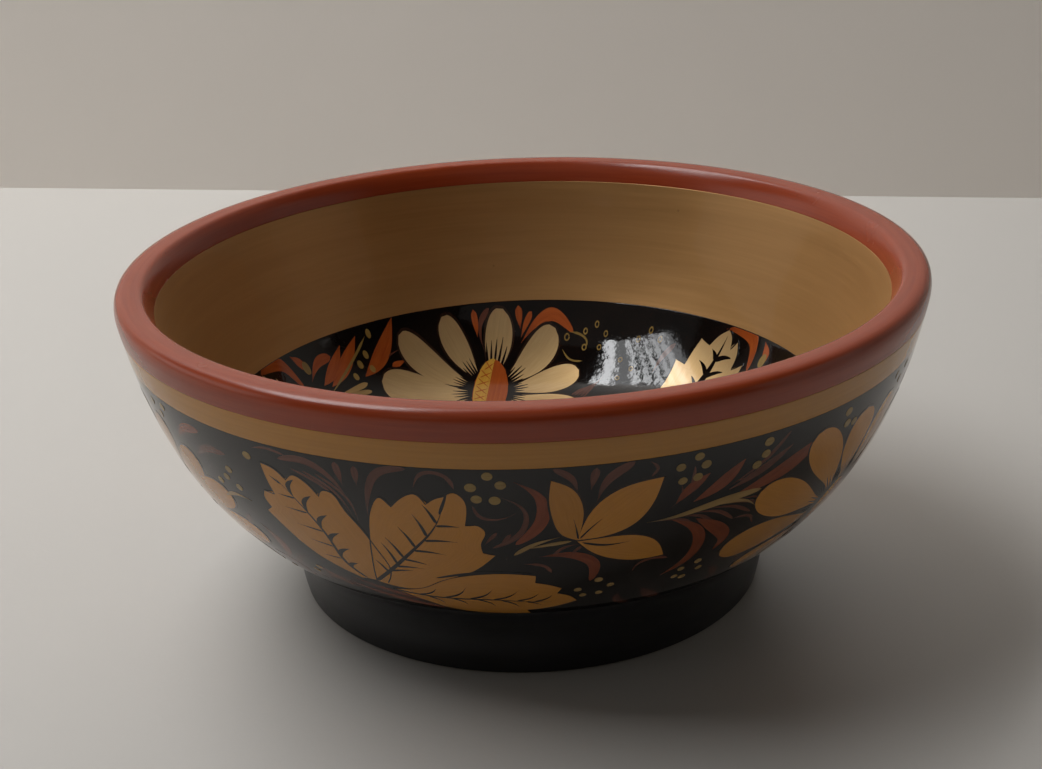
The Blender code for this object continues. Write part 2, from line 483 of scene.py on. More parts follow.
def coat(name, node, outline, low, high, material, slot, lift, seeds):
    """One coat as a fine skin round the bowl, a little proud where it overlaps its neighbours."""
    step = RIM_ROW_STEP if node == "rim_red_coat" else ROW_STEP
    count = max(4, round((high - low) / step))
    edge = 0.12 / (high - low)
    shares = np.unique(np.concatenate([np.linspace(0.0, 1.0, count + 1), [edge, 1 - edge]]))
    angles = np.arange(AROUND) * 2 * math.pi / AROUND
    starts = np.array([low + (wavering(a, seeds[0], 0.05) if seeds[0] else 0.0) for a in angles])
    ends = np.array([high + (wavering(a, seeds[1], 0.05) if seeds[1] else 0.0) for a in angles])
    vertices, marks = [], []
    for share in shares:
        distance = starts + (ends - starts) * share
        rise = lift if 0 < share < 1 else 0.0
        vertices.append(turned_points(outline, distance, angles, rise))
        marks.append(np.stack([distance, np.cos(angles), np.sin(angles)], axis=1))
    faces = grid_faces(len(shares), AROUND, True)
    if outline.at(high)[0, 0] < 1.0:
        faces = close_centre(vertices, marks, faces)
    piece = new_piece(name, np.concatenate(vertices), faces, material, slot)
    add_vectors(piece, "turned", np.concatenate(marks))
    skin = piece.modifiers.new("skin", "SOLIDIFY")
    skin.thickness = 0.25 * MM
    skin.offset = -1.0
    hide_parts(node)
    return piece


def close_centre(vertices, marks, faces):
    """Swap the last row, all on the axis, for a single vertex with a fan of triangles."""
    centre = vertices.pop().mean(axis=0)
    marks.append(marks.pop()[:1])
    vertices.append(centre[None, :])
    last = len(vertices) - 2
    faces = [face for face in faces if max(face) < (last + 1) * AROUND]
    top = (last + 1) * AROUND
    for k in range(AROUND):
        faces.append((last * AROUND + k, last * AROUND + (k + 1) % AROUND, top))
    return faces


def add_vectors(piece, name, values):
    layer = piece.data.attributes.new(name, "FLOAT_VECTOR", "POINT")
    layer.data.foreach_set("vector", np.asarray(values, np.float32).ravel())


# ---------------------------------------------------------------- brush strokes

def through(points, step=SPINE_STEP):
    """Evenly spaced points on a smooth curve through a few points."""
    points = np.array(points, float)
    if len(points) == 2:
        length = math.dist(*points)
        shares = np.linspace(0, 1, max(4, round(length / step)) + 1)[:, None]
        return points[0] * (1 - shares) + points[1] * shares
    curve = Outline(points * MM)
    count = max(6, round(curve.length / step))
    return curve.at(np.linspace(0, curve.length, count + 1))


def comma(t, belly=0.72):
    """A comma stroke's width: a fine tail, a full belly and a round head."""
    tail = np.sin(np.clip(t / belly, 0, 1) * math.pi / 2) ** 1.25
    head = np.sqrt(np.clip(1 - (np.clip(t - belly, 0, 1) / (1 - belly)) ** 2, 0, 1))
    return np.where(t < belly, tail, head)


def lens(t, belly=0.5):
    """A width that is pointed at both ends."""
    before = np.sin(np.clip(t / belly, 0, 1) * math.pi / 2)
    after = np.sin(np.clip((1 - t) / (1 - belly), 0, 1) * math.pi / 2)
    return np.where(t < belly, before, after) ** 0.9


def thread(t):
    """A thin line, fading at both ends."""
    return np.clip(np.minimum(t / 0.3, (1 - t) / 0.12), 0.12, 1.0)


def axes(angle):
    """The unit vector at an angle in degrees, and the one square to it."""
    ahead = np.array([math.cos(math.radians(angle)), math.sin(math.radians(angle))])
    return ahead, np.array([-ahead[1], ahead[0]])


def petal_shape(t):
    """A daisy petal's width: narrow at the heart, broad and round at the tip."""
    body = 0.18 + 0.82 * np.sin(np.clip(t / 0.68, 0, 1) * math.pi / 2) ** 1.5
    tip = np.sqrt(np.clip(1 - (np.clip(t - 0.68, 0, 1) / 0.32) ** 2.3, 0, 1))
    return np.where(t < 0.68, body, tip)


def degrees(points):
    """Outside layout points from (degrees, mm) to mm."""
    return [(a * DEGREE, up) for a, up in points]


class Layer:
    """All the strokes of one paint on one side of the bowl, gathered into a single mesh."""

    def __init__(self, name, place, material, slot, base):
        self.name = name
        self.place = place
        self.at = degrees if place is on_belly else list
        self.material = material
        self.slot = slot
        self.base = base
        self.turn = 0.0
        self.vertices = []
        self.faces = []
        self.brush = []
        self.reach = []
        self.facing = []
        self.count = 0

    def turned(self, points):
        """Move layout points to the current repeat, each painted by hand a little differently."""
        sway = 0.5 if self.turn else 0.0
        drift = (np.sin(0.11 * points[:, 1] + self.turn), np.cos(0.09 * points[:, 0] + self.turn))
        points = points + sway * np.stack(drift, axis=1)
        if self.place is on_belly:
            return points + np.array([self.turn * DEGREE, 0.0])
        c, s = math.cos(math.radians(self.turn)), math.sin(math.radians(self.turn))
        return points @ np.array([[c, s], [-s, c]])

    def ribbon(self, spine, left, right, fade=False):
        """A closed thin solid over a spine, with a width in mm on each side of it."""
        spine = np.asarray(spine, float)
        ahead = np.gradient(spine, axis=0)
        ahead /= np.maximum(np.hypot(*ahead.T), 1e-9)[:, None]
        heading = np.arctan2(ahead[:, 1], ahead[:, 0])
        lean = math.pi / 2
        ribs = {+1: np.stack([np.cos(heading + lean), np.sin(heading + lean)], axis=1),
                -1: np.stack([np.cos(heading - lean), np.sin(heading - lean)], axis=1)}
        widest = max(left.max(), right.max())
        inner = max(1, round(widest / RIB_STEP))
        rim = min(0.4, EDGE_STEP / widest)
        half = np.concatenate([np.linspace(0, 1 - rim, inner + 1), [1.0]])
        across = np.concatenate([-half[:0:-1], half])
        tint = random.random()
        rows, columns = len(spine), len(across)
        tops, lifts, brush = [], [], []
        for a in across:
            side = ribs[1] if a >= 0 else ribs[-1]
            reach = abs(a) * (left if a >= 0 else right)
            tops.append(spine + side * reach[:, None])
            full = np.clip(np.minimum(left, right) / 0.25, 0.15, 1.0)
            lifts.append(np.full(rows, -0.014) if abs(a) == 1 else 0.022 * full)
            along = np.arange(rows) * SPINE_STEP
            brush.append(np.stack([along, np.sign(a) * reach, np.full(rows, tint)], axis=1))
        layout = self.turned(np.stack(tops, axis=1).reshape(-1, 2))
        rise = np.stack(lifts, axis=1).ravel() + self.base
        t = np.repeat(np.linspace(0, 1, rows), columns) if fade else np.ones(rows * columns)
        marks = np.stack([t, np.full_like(t, tint), np.zeros_like(t)], axis=1)
        self.add_solid(layout, rise, rows, columns, np.stack(brush, axis=1).reshape(-1, 3), marks)

    def add_solid(self, layout, rise, rows, columns, strokes, marks):
        """Wrap a grid on the bowl, with an underside just inside the coat, closed along its borders."""
        start = self.count
        size = rows * columns
        top = self.place(layout, rise)
        under = self.place(layout, np.full(size, STROKE_FOOT))
        top_faces = grid_faces(rows, columns, False)
        self.faces += [tuple(start + k for k in reversed(f)) for f in top_faces]
        self.faces += [tuple(start + size + k for k in f) for f in top_faces]
        border = list(range(columns))
        border += [row * columns + columns - 1 for row in range(1, rows)]
        border += list(range(size - 2, size - columns - 1, -1))
        border += [row * columns for row in range(rows - 2, 0, -1)]
        for a, b in zip(border, border[1:] + border[:1]):
            self.faces.append((start + b, start + size + b, start + size + a, start + a))
        facing = (self.place(layout, np.ones(size)) - self.place(layout, np.zeros(size))) / MM
        self.vertices += [top, under]
        self.brush += [strokes, strokes]
        self.reach += [marks, marks]
        self.facing += [facing, facing]
        self.count += 2 * size

    # --- the painter's strokes

    def drawn(self, points, width, shape, fade=False, step=SPINE_STEP, least=0.05):
        """A stroke through points in mm, with a width in mm and a shape from tail to head."""
        spine = through(points, step)
        half = np.maximum(width / 2 * shape(np.linspace(0, 1, len(spine))), least)
        self.ribbon(spine, half, half, fade=fade)

    def comma(self, points, width, belly=0.72):
        self.drawn(self.at(points), width, lambda t: comma(t, belly), fade=True)

    def lens(self, points, width, belly=0.5):
        self.drawn(self.at(points), width, lambda t: lens(t, belly))

    def thread(self, points, width):
        self.drawn(self.at(points), width, thread, step=0.4, least=0.0)

    def berry(self, centre, radius):
        steps = 1 - np.cos(np.linspace(0, math.pi, 11))
        spine = np.array([(centre[0] + radius * (s - 1), centre[1]) for s in steps])
        half = np.maximum(radius * np.sqrt(np.clip(1 - (steps - 1) ** 2, 0, 1)), 0.04)
        self.ribbon(spine, half, half)

    def ring(self, centre, radius, width):
        """A small circle, its ends just short of meeting."""
        angle = np.linspace(0, 1, 26) * 0.985 * 2 * math.pi
        spine = np.stack([centre[0] + radius * np.cos(angle), centre[1] + radius * np.sin(angle)], axis=1)
        half = np.full(len(spine), width / 2)
        self.ribbon(spine, half, half)

    def petal(self, heart, angle, start, length, width, bend=0.0):
        direction, across = axes(angle)
        points = [heart + direction * (start + (length - start) * s) + across * bend * math.sin(s * math.pi)
                  for s in (0, 0.5, 1)]
        spine = through(points)
        half = np.maximum(width / 2 * petal_shape(np.linspace(0, 1, len(spine))), 0.06)
        self.ribbon(spine, half, half)

    def sheet(self, left, middle, right):
        """A closed thin solid between two edges, with a line of points down its middle."""
        widest = max(np.hypot(*(edge - middle).T).max() for edge in (left, right))
        inner = math.ceil(widest / RIB_STEP)
        half = np.concatenate([np.linspace(0, 1 - EDGE_STEP / widest, inner + 1), [1.0]])
        across = np.concatenate([-half[:0:-1], half])
        sides = [middle + ((right if a < 0 else left) - middle) * abs(a) for a in across]
        rows, columns = len(middle), len(across)
        layout = self.turned(np.stack(sides, axis=1).reshape(-1, 2))
        rise = np.tile(np.where(np.abs(across) == 1, -0.014, 0.022), rows) + self.base
        tint = random.random()
        along = np.repeat(np.arange(rows) * 0.4, columns)
        beside = np.tile(across * widest, rows)
        strokes = np.stack([along, beside, np.full(rows * columns, tint)], axis=1)
        marks = np.tile([1.0, tint, 0.0], (rows * columns, 1))
        self.add_solid(layout, rise, rows, columns, strokes, marks)

    def line(self, points, width):
        half = np.full(len(points), width / 2)
        self.ribbon(points, half, half)

    def finish(self):
        if not self.vertices:
            return
        vertices = np.concatenate(self.vertices)
        piece = new_piece(self.name, vertices, self.faces, self.material, self.slot)
        add_vectors(piece, "brush", np.concatenate(self.brush))
        add_vectors(piece, "reach", np.concatenate(self.reach))
        add_vectors(piece, "facing", np.concatenate(self.facing))


# ---------------------------------------------------------------- motifs

LEAF_EDGE = 0.4                      # mm: the thin dark line round leaves and petals


LAYERS = (
    ("brown", "brown_strokes", "brown", "cinnabar_lacquer", 0.010),
    ("red", "red_strokes", "red", "cinnabar_lacquer", 0.018),
    ("under", "outlines", "umber", "black_lacquer", 0.032),
    ("body", "leaves_and_petals", "body", "body", 0.050),
    ("pale", "pale_strokes", "pale", "body", 0.056),
    ("gold", "berries", "berry", "gold_lacquer", 0.060),
    ("dark", "veins_and_hatching", "ink", "black_lacquer", 0.066),
    ("heart", "daisy_hearts", "orange", "cinnabar_lacquer", 0.073),
    ("yellow", "yellow_touches", "yellow", "ochre_lacquer", 0.080),
    ("hatch", "heart_hatching", "orange", "cinnabar_lacquer", 0.104),
)
# What differs between the sides: how points are placed, the coat's own lift in mm, paints and slot
SIDES = {
    # outside, the red strokes use a darker copy of the well's orange: thin paint over black, and painted
    # shade
    "belly": (on_belly, 0.0, {"body": "ochre", "red": "shaded_thin_orange"}, "ochre_lacquer"),
    "well": (in_well, 0.02, {"body": "cream", "red": "orange"}, "cream_gold_lacquer"),
}


class Kit:
    """The paints in use on one side of the bowl."""

    def __init__(self, side):
        place, ground, own, body_slot = SIDES[side]
        self.layers = []
        for name, piece, paint, slot, lift in LAYERS:
            slot = body_slot if slot == "body" else slot
            material = PAINTS[own.get(paint, paint)]
            layer = Layer("%s_%s" % (side, piece), place, material, slot, ground + lift)
            self.layers.append(layer)
            setattr(self, name, layer)

    def turn_to(self, degrees_round):
        for layer in self.layers:
            layer.turn = degrees_round

    def finish(self):
        for layer in self.layers:
            layer.finish()


def joined(lobes, rows):
    """One edge made of smooth lobes that meet at sharp notches, as a fixed number of points."""
    lengths = np.array([Outline(np.array(lobe, float) * MM).length for lobe in lobes])
    ends = np.round(np.cumsum(lengths) / lengths.sum() * (rows - 1)).astype(int)
    edge = [np.array(lobes[0][0], float)]
    start = 0
    for lobe, end in zip(lobes, ends):
        curve = Outline(np.array(lobe, float) * MM)
        edge += list(curve.at(np.linspace(0, curve.length, end - start + 1))[1:])
        start = end
    return np.array(edge)


def leaf(kit, midrib, left, right, veins, rib=1.1, vein=0.75, hook=0.15, outlined=(True, True),
         full=0.96):
    """A leaf between two lobed edges, its midrib drawn in dark and its veins hooked towards the tip."""
    rows = 96
    at = kit.dark.at
    edges = [joined([at(lobe) for lobe in side], rows) for side in (left, right)]
    spine = joined([at(midrib)], rows)
    kit.body.sheet(edges[0], spine, edges[1])
    for edge, drawn in zip(edges, outlined):
        if drawn:
            kit.dark.line(edge, LEAF_EDGE)
    kit.dark.comma(midrib[::-1], rib, belly=full)
    ahead = np.gradient(spine, axis=0)
    ahead /= np.hypot(*ahead.T)[:, None]
    for root, tip in map(at, veins):
        near = np.argmin(np.hypot(*(spine - root).T))
        start = spine[near]
        middle = 0.5 * (start + tip) + ahead[near] * hook * math.dist(start, tip)
        kit.dark.drawn([tip, middle, start], vein, lambda t: comma(t, 0.86), fade=True)


def blade(kit, left, right, rows=40):
    """A plain pointed petal between two edges, with a thin dark outline."""
    edges = [joined([degrees(side)], rows) for side in (left, right)]
    kit.body.sheet(edges[0], 0.5 * (edges[0] + edges[1]), edges[1])
    for edge in edges:
        kit.under.line(edge, 2 * LEAF_EDGE)


def oval(kit, heart, long, wide, tilt):
    """A daisy's heart: orange, its lit side yellow under an orange lattice."""
    direction, across = axes(tilt)
    steps = 1 - np.cos(np.linspace(0, math.pi, 25))
    spine = heart + np.outer(long * (steps - 1), direction)
    half = np.maximum(wide * np.sqrt(np.clip(1 - (steps - 1) ** 2, 0, 1)), 0.08)
    kit.under.ribbon(spine, half + 0.45, half + 0.45)
    kit.heart.ribbon(spine, half, half)
    lit_middle, lit_width = 0.53, 0.44
    lit = np.maximum(half * lit_width, 0.06)
    kit.yellow.ribbon(spine + half[:, None] * lit_middle * across, lit, lit)

    def spot(u, v):
        return heart + direction * (long * u) + across * (wide * v)

    for u in np.linspace(-0.9, 0.66, 7):
        near = math.sqrt(1 - (u + 0.12) ** 2)
        for lean in (0.24, -0.24):
            start = u + 0.12 - lean / 2
            ends = (spot(start, near * 0.12), spot(start + lean, near * 0.86))
            kit.hatch.drawn(ends, 0.34, thread, step=0.4, least=0.0)


def daisy(kit, heart, petals, oval_size, tilt, hatch, gap=0.0):
    """Petals round an oval heart, each with fine dark hatching fanned over its base."""
    heart = np.array(heart, float)
    long, wide = oval_size
    for angle, length, width, bend in petals:
        start = 0.55 * (long + wide) / 2 + gap
        kit.under.petal(heart, angle, start, length + 0.45, width + 0.9, bend)
        kit.body.petal(heart, angle, start + 0.3, length, width, bend)
    for angle, length, width, bend in petals:
        count = 6
        for k in range(count):
            share = (k + 0.5) / count - 0.5
            turn = math.radians(angle + share * 1.05 * math.degrees(width / (length * 0.62)))
            along = np.array([math.cos(turn), math.sin(turn)])
            off = math.radians(angle - tilt)
            edge = long * wide / math.hypot(wide * math.cos(off), long * math.sin(off))
            reach = edge + hatch * (1.15 - 1.1 * abs(share)) * random.uniform(0.85, 1.1)
            points = [heart + along * far for far in (reach, edge * 0.8 + reach * 0.2, edge * 0.85)]
            kit.dark.drawn(points, 0.85, lambda t: comma(t, 0.93), fade=True)
    oval(kit, heart, long, wide, tilt)


def berries(layer, centres, radius):
    for centre in layer.at(centres):
        layer.berry(centre, radius * random.uniform(0.92, 1.08))


# ---------------------------------------------------------------- outside composition

def leaf_left(kit):
    leaf(kit, [(-115.9, 14), (-118, 19.5), (-118.6, 26.5), (-120.2, 33.5), (-122.6, 39.3), (-125.7, 44.8)],
         [[(-117, 13.5), (-123.2, 20), (-126.2, 26), (-128.4, 31)],
          [(-128.4, 31), (-127.1, 32.5)],
          [(-127.1, 32.5), (-127.6, 35), (-127, 37.1)],
          [(-127, 37.1), (-125.2, 36.9)],
          [(-125.2, 36.9), (-125.6, 40.5), (-125.7, 44.8)]],
         [[(-112.5, 13.5), (-110.6, 20.3), (-111.3, 26.2), (-112.7, 32.7), (-114.4, 38), (-115.6, 41.2),
           (-116.8, 41.1), (-117.5, 39.4)],
          [(-117.5, 39.4), (-119.1, 42.7), (-120.6, 43.7), (-122.1, 41.9)],
          [(-122.1, 41.9), (-123.6, 44.1), (-125.7, 44.8)]],
         [], rib=1.0)
    for root, tip in (((-117.3, 17.0), (-115.9, 19.8)), ((-118.2, 20.8), (-116.0, 24.8)),
                      ((-118.6, 25.2), (-116.5, 29.5)), ((-119.1, 29.6), (-117.3, 34.4)),
                      ((-120.3, 34.0), (-118.8, 39.0)), ((-121.8, 37.9), (-120.8, 42.4))):
        bend = (0.5 * (root[0] + tip[0]) - 0.8, 0.5 * (root[1] + tip[1]) + 0.2)
        kit.dark.lens([root, bend, tip], 1.3, belly=0.48)
    for root, tip in (((-118.3, 20.5), (-121.7, 20.6)), ((-118.5, 24.5), (-122.6, 25.4)),
                      ((-119, 29), (-123.4, 29.6)), ((-120.4, 33.8), (-124.4, 34)),
                      ((-121.6, 37.3), (-124.8, 37.4)), ((-123.2, 40.3), (-125.1, 42.3))):
        kit.dark.comma([tip, root], 0.6, belly=0.85)


def leaf_right(kit):
    leaf(kit, [(-112.5, 10.6), (-107.6, 9.5), (-101.7, 9.3), (-96, 9.4), (-90, 8.2), (-83, 7.5)],
         [[(-112.5, 10.6), (-106.8, 13.1), (-102.9, 17.5), (-98.9, 20), (-93.4, 20.9), (-89.5, 20)],
          [(-89.5, 20), (-89.6, 17.2)],
          [(-89.6, 17.2), (-88.2, 16.5), (-85.7, 14.3)],
          [(-85.7, 14.3), (-86.4, 12)],
          [(-86.4, 12), (-84.5, 10.5), (-83, 7.5)]],
         [[(-112.5, 10.6), (-108.7, 7.5), (-105.5, 4), (-100, 1.2), (-90.5, 0.6)],
          [(-90.5, 0.6), (-91.4, 3)],
          [(-91.4, 3), (-87.5, 4.2), (-83, 7.5)]],
         [[(-108.2, 10.3), (-104.6, 14.2)], [(-104, 10.5), (-100, 15)], [(-100, 10.5), (-96, 14.6)],
          [(-96.2, 10.2), (-92.2, 14)], [(-92.6, 10), (-89, 12.8)], [(-89.6, 9.7), (-86.9, 11.8)],
          [(-107, 9.8), (-104.4, 5.5)], [(-103, 9.7), (-100.6, 5.8)], [(-98.8, 9.7), (-96, 5.4)],
          [(-95, 9.7), (-92.2, 5.2)], [(-91, 9.5), (-88.4, 5.8)]], rib=0.9, vein=0.9, hook=0.17,
         outlined=(False, False))


def leaf_centre(kit):
    leaf(kit, [(-114.4, 13.6), (-110.1, 20.4), (-105.9, 27.7), (-101.9, 35.8), (-100.2, 43.3)],
         [[(-114.4, 13.6), (-112.2, 26.8), (-111.2, 34), (-110.1, 39), (-108.7, 41.7), (-107.4, 39.6)],
          [(-107.4, 39.6), (-105.8, 42.2), (-104, 43.4), (-102.8, 41)],
          [(-102.8, 41), (-101.6, 42.5), (-100.2, 43.3)]],
         [[(-114.4, 13.6), (-111.5, 12.3), (-107.9, 12.6), (-103.3, 17.4), (-98.8, 21.1), (-94.8, 27.2)],
          [(-94.8, 27.2), (-96.4, 27.9)],
          [(-96.4, 27.9), (-96.4, 31.2), (-95.8, 34.2), (-96.7, 35.8), (-98.3, 35.2)],
          [(-98.3, 35.2), (-97.8, 39.6), (-98.2, 43), (-99.2, 44.1), (-100.2, 43.3)]],
         [[(-111.5, 19), (-112.6, 23.2)], [(-109.4, 22.5), (-110.5, 29.6)], [(-108.1, 24.9), (-109.7, 31.3)],
          [(-105.6, 28.4), (-107.4, 34.8)], [(-103.7, 32.3), (-105, 38.7)], [(-102.2, 36.2), (-103.5, 41.5)],
          [(-110.8, 19.3), (-106.6, 20.6)], [(-109.5, 21.1), (-105.2, 21.6)], [(-107.9, 24.3), (-104.2, 23)],
          [(-105.9, 27.5), (-101.4, 26.9)], [(-104.2, 31.1), (-99.5, 31)], [(-101.9, 35.4), (-98.6, 35.2)]],
         rib=1.2, vein=0.85, hook=0.05, outlined=(True, False))
    kit.dark.comma([(-99.9, 46.5), (-99.9, 45), (-100.2, 43), (-101.3, 38.5)], 0.8, belly=0.8)


def sprays_above_leaves(kit):
    kit.dark.comma([(-90, 21), (-97, 21.4), (-104, 18.4)], 1.0)
    for k in range(3):
        tip = (-117 - 1.8 * k, 45.2)
        kit.brown.comma([(-112.6 - 0.5 * k, 34 + k), (-113.2 - 1.5 * k, 40 + k), tip], 0.7)
    for k in range(4):
        tip = (-125 - 2.4 * k, 8.5 - 1.4 * k)
        kit.brown.comma([(-118 - 3 * k, 9 - k), (-121 - 2.6 * k, 10.5 - k), tip], 1.1)
    kit.brown.comma([(-113, 39.5), (-115, 45), (-118, 47.8), (-122.3, 47)], 1.7)
    kit.brown.comma([(-111, 36), (-110, 43), (-108, 48), (-104.6, 49.2)], 1.7)
    kit.brown.comma([(-113.4, 43.6), (-113.8, 49)], 1.5)
    kit.brown.comma([(-111.4, 44), (-111.2, 48.6)], 1.4)
    kit.brown.thread([(-104, 45), (-102.5, 48.5), (-100, 48), (-99, 45)], 0.8)
    kit.brown.thread([(-126.3, 48), (-124, 48.8), (-121, 48.2)], 0.6)
    kit.brown.comma([(-126, 17), (-129, 14.5), (-131, 10)], 1.5)
    kit.red.lens([(-105, 2.6), (-112, 5), (-121, 9.5)], 2.0, belly=0.4)
    kit.red.lens([(-107.5, 6.2), (-112.5, 8.6), (-119.5, 12.5)], 1.7, belly=0.4)
    kit.red.comma([(-119.5, 6.5), (-123, 9.5), (-125.5, 13.5)], 1.8, belly=0.5)
    berries(kit.gold, [(-127.8, 45.5), (-94.9, 48.2), (-97, 45.5), (-93.4, 46.1),
                       (-96.4, 42.7), (-94.2, 42.4)], 0.95)
    kit.brown.comma([(-97, 41), (-96, 38), (-93.5, 37.7), (-91.8, 39)][::-1], 0.7)
    kit.brown.comma([(-94, 43.5), (-90.8, 40), (-91.2, 34), (-95, 29.5)], 1.2)
    kit.brown.comma([(-96, 30.5), (-94.3, 34)], 0.8)
    kit.brown.comma([(-94, 30.5), (-92.5, 33.5)], 0.8)
    kit.red.comma([(-91.8, 46.8), (-88.9, 43), (-88.7, 36.5), (-92, 30.5)], 2.5, belly=0.55)
    kit.pale.comma([(-92.3, 27.3), (-90, 30), (-86.3, 32.2)][::-1], 1.0)
    kit.pale.comma([(-91, 29), (-88, 30), (-84.8, 30.8)], 0.9)
    kit.red.comma([(-89, 26.5), (-85, 26.6), (-81.7, 23.5), (-81.6, 16.5)], 2.5, belly=0.55)
    kit.brown.thread([(-91, 24.3), (-88, 23), (-87.3, 21)], 0.8)


def tulip(kit):
    """Three ochre petals opening from one point."""
    blade(kit, [(-84, 31), (-85.8, 32.4), (-87.3, 37.2), (-87.7, 43), (-87.4, 46.8)],
          [(-84, 31), (-83.4, 36), (-83.6, 41), (-85, 44.8), (-87.4, 46.8)])
    blade(kit, [(-84, 31), (-83.3, 35.5), (-81.6, 40.5), (-78.5, 43.8), (-73.6, 44.9)],
          [(-84, 31), (-80, 31.5), (-77, 33.4), (-75, 37), (-73.6, 44.9)])
    blade(kit, [(-84, 30.6), (-80.5, 31), (-76.2, 30.6), (-73.2, 28), (-71.4, 22.6)],
          [(-84, 30.6), (-82, 27), (-78.5, 23.7), (-75, 22.4), (-71.4, 22.6)])
    kit.dark.comma([(-80.4, 37.2), (-82.2, 34.4), (-83.7, 31.4)], 0.5, belly=0.9)
    kit.dark.comma([(-76.8, 29), (-80.4, 28.8), (-83.4, 30.2)], 0.8, belly=0.7)
    kit.dark.comma([(-84.6, 36.8), (-84.2, 34), (-83.9, 31.2)], 0.5, belly=0.9)
    kit.brown.comma([(-84.2, 43), (-85, 47), (-87.2, 49.4)], 1.4)
    kit.brown.comma([(-82.6, 44), (-82, 49)], 1.5)
    kit.brown.comma([(-81.8, 41), (-80.5, 46), (-77.4, 49.4)], 2.0)
    kit.brown.thread([(-75.5, 49), (-74.5, 47), (-75.2, 45.5)], 0.6)


def stem_and_sprays(kit):
    berries(kit.gold, [(-71.5, 46.4), (-69.2, 48.2), (-68.1, 46), (-71, 43), (-69, 43.3),
                       (-59.2, 47.6), (-59.3, 44.8), (-60.4, 42.6), (-44.5, 47), (-44, 44),
                       (-42.3, 43.5)], 0.95)
    kit.brown.thread([(-71, 42), (-70.3, 39.5), (-68.6, 40.5)], 0.5)
    kit.brown.thread([(-60.6, 41.5), (-61.5, 40), (-63, 40)], 0.5)
    kit.pale.comma([(-75, 33.6), (-71.3, 33.8), (-67.6, 34.7), (-63.3, 35.5), (-58.4, 35.6)], 1.9)
    kit.pale.comma([(-66.9, 35.1), (-63.1, 34.6), (-59.9, 33), (-58.1, 30.5)][::-1], 1.0)
    kit.red.lens([(-71.4, 37.4), (-70, 40.2), (-67.3, 43.6)], 2.3, belly=0.55)
    kit.red.lens([(-68.9, 37), (-65.4, 40.2), (-62.4, 45)], 3.0, belly=0.55)
    kit.brown.lens([(-63.9, 38), (-59.5, 40.8), (-54.8, 45)], 2.0, belly=0.55)
    kit.red.lens([(-62.9, 35.8), (-55.5, 39), (-48.6, 44.4)], 4.0, belly=0.58)
    kit.red.lens([(-71.4, 33), (-67.5, 29), (-66.2, 24), (-67, 19), (-70.4, 14)], 2.7, belly=0.5)
    kit.red.lens([(-67.9, 32), (-63.9, 27.4), (-62, 23), (-62.9, 19.8)], 3.2, belly=0.55)
    kit.brown.thread([(-61.5, 29), (-58.5, 28), (-57.5, 25.5)], 0.7)
    for k in range(6):
        start, drop = -73.5 + 2.3 * k, 33.4 + 0.25 * k
        tip = (start + 6.2 + 0.5 * k, drop - 5.6 + 0.35 * k)
        kit.brown.comma([(start, drop), (start + 4.0, drop - 1.2), tip], 0.9)
    for k in range(4):
        start = -86.5 + 2.4 * k
        kit.brown.comma([(start + 3.0, 29.8), (start + 0.6, 28.8), (start - 0.6, 26.6)], 0.75)
    kit.brown.comma([(-72, 36.5), (-69.8, 41), (-69.6, 46)], 0.7)
    kit.brown.comma([(-64.5, 38.6), (-59, 43.5), (-55.8, 48.6)], 1.0)
    berries(kit.pale, [(-83.2, 13), (-82.2, 10.1), (-79.7, 10.5), (-78.2, 13.7), (-80.3, 16.6),
                       (-67, 14.8), (-67.4, 11.7), (-65.8, 10.6), (-64.5, 16.5), (-63.5, 13.2)], 0.85)
    kit.brown.comma([(-75.5, 17.5), (-75, 20.5), (-73, 22), (-70.5, 21)], 1.1)
    kit.brown.comma([(-72.7, 9.5), (-70.5, 5), (-67.5, 1.2)], 3.0, belly=0.55)
    kit.brown.comma([(-76.5, 9), (-76, 5), (-73.5, 1.5)], 2.2, belly=0.55)
    kit.brown.comma([(-61.5, 12), (-58.5, 7.5), (-58, 2.5)], 2.4, belly=0.5)


def outer_daisy(kit):
    daisy(kit, (-37 * DEGREE, 18),
          [(96, 27, 9.5, 0.6), (125, 32.6, 9.0, -0.5), (151, 34.3, 10.0, 0.6), (180, 34, 10.5, -0.6),
           (69, 27.5, 8.5, 0.4), (44, 29.5, 9.0, -0.4), (23, 32, 9.0, 0.5), (1, 32, 9.5, -0.4),
           (206, 27, 8.0, 0.4), (333, 27, 8.0, -0.4), (236, 19, 6.5, 0.3), (304, 19, 6.5, -0.3),
           (270, 16.2, 6.0, 0.0)],
          (7.2, 5.0), 84.0, 8.5, gap=4.5)
    berries(kit.gold, [(-30.5, 47.5), (-28.4, 45.4), (-26.6, 47.9)], 0.95)
    kit.brown.comma([(-50.5, 35.5), (-46.8, 39.5), (-43.6, 40.0)], 1.5)
    kit.brown.comma([(-56.5, 12.5), (-53.5, 8.5), (-52.4, 3.2)], 2.3, belly=0.55)


def sprays_beyond_daisy(kit):
    """Between one daisy and the next leaves."""
    kit.red.comma([(-24.5, 41.5), (-21, 45.5), (-17.2, 46.5)], 2.4, belly=0.6)
    kit.brown.comma([(-20.5, 38.5), (-16.5, 42.5), (-12.4, 43.0)], 2.0, belly=0.6)
    kit.brown.comma([(-16.5, 17), (-15.8, 22), (-14.2, 25.6)], 1.6)
    kit.red.comma([(-12.5, 24), (-10.6, 18.5), (-12.2, 12.5)], 2.5, belly=0.5)
    kit.red.comma([(-16.5, 12), (-12.5, 8.5), (-11.5, 3.5)], 2.6, belly=0.5)
    kit.pale.comma([(-17.5, 29.5), (-14.5, 31.5), (-10.8, 31.4)][::-1], 1.0)
    berries(kit.gold, [(-16.4, 34.4), (-14.2, 36.4), (-12.2, 34.5), (-12.9, 38.9)], 0.95)
    berries(kit.pale, [(-19.4, 6.2), (-17.4, 4.2), (-7.6, 9.8), (-5.9, 12.3)], 0.85)


# ---------------------------------------------------------------- the well's composition

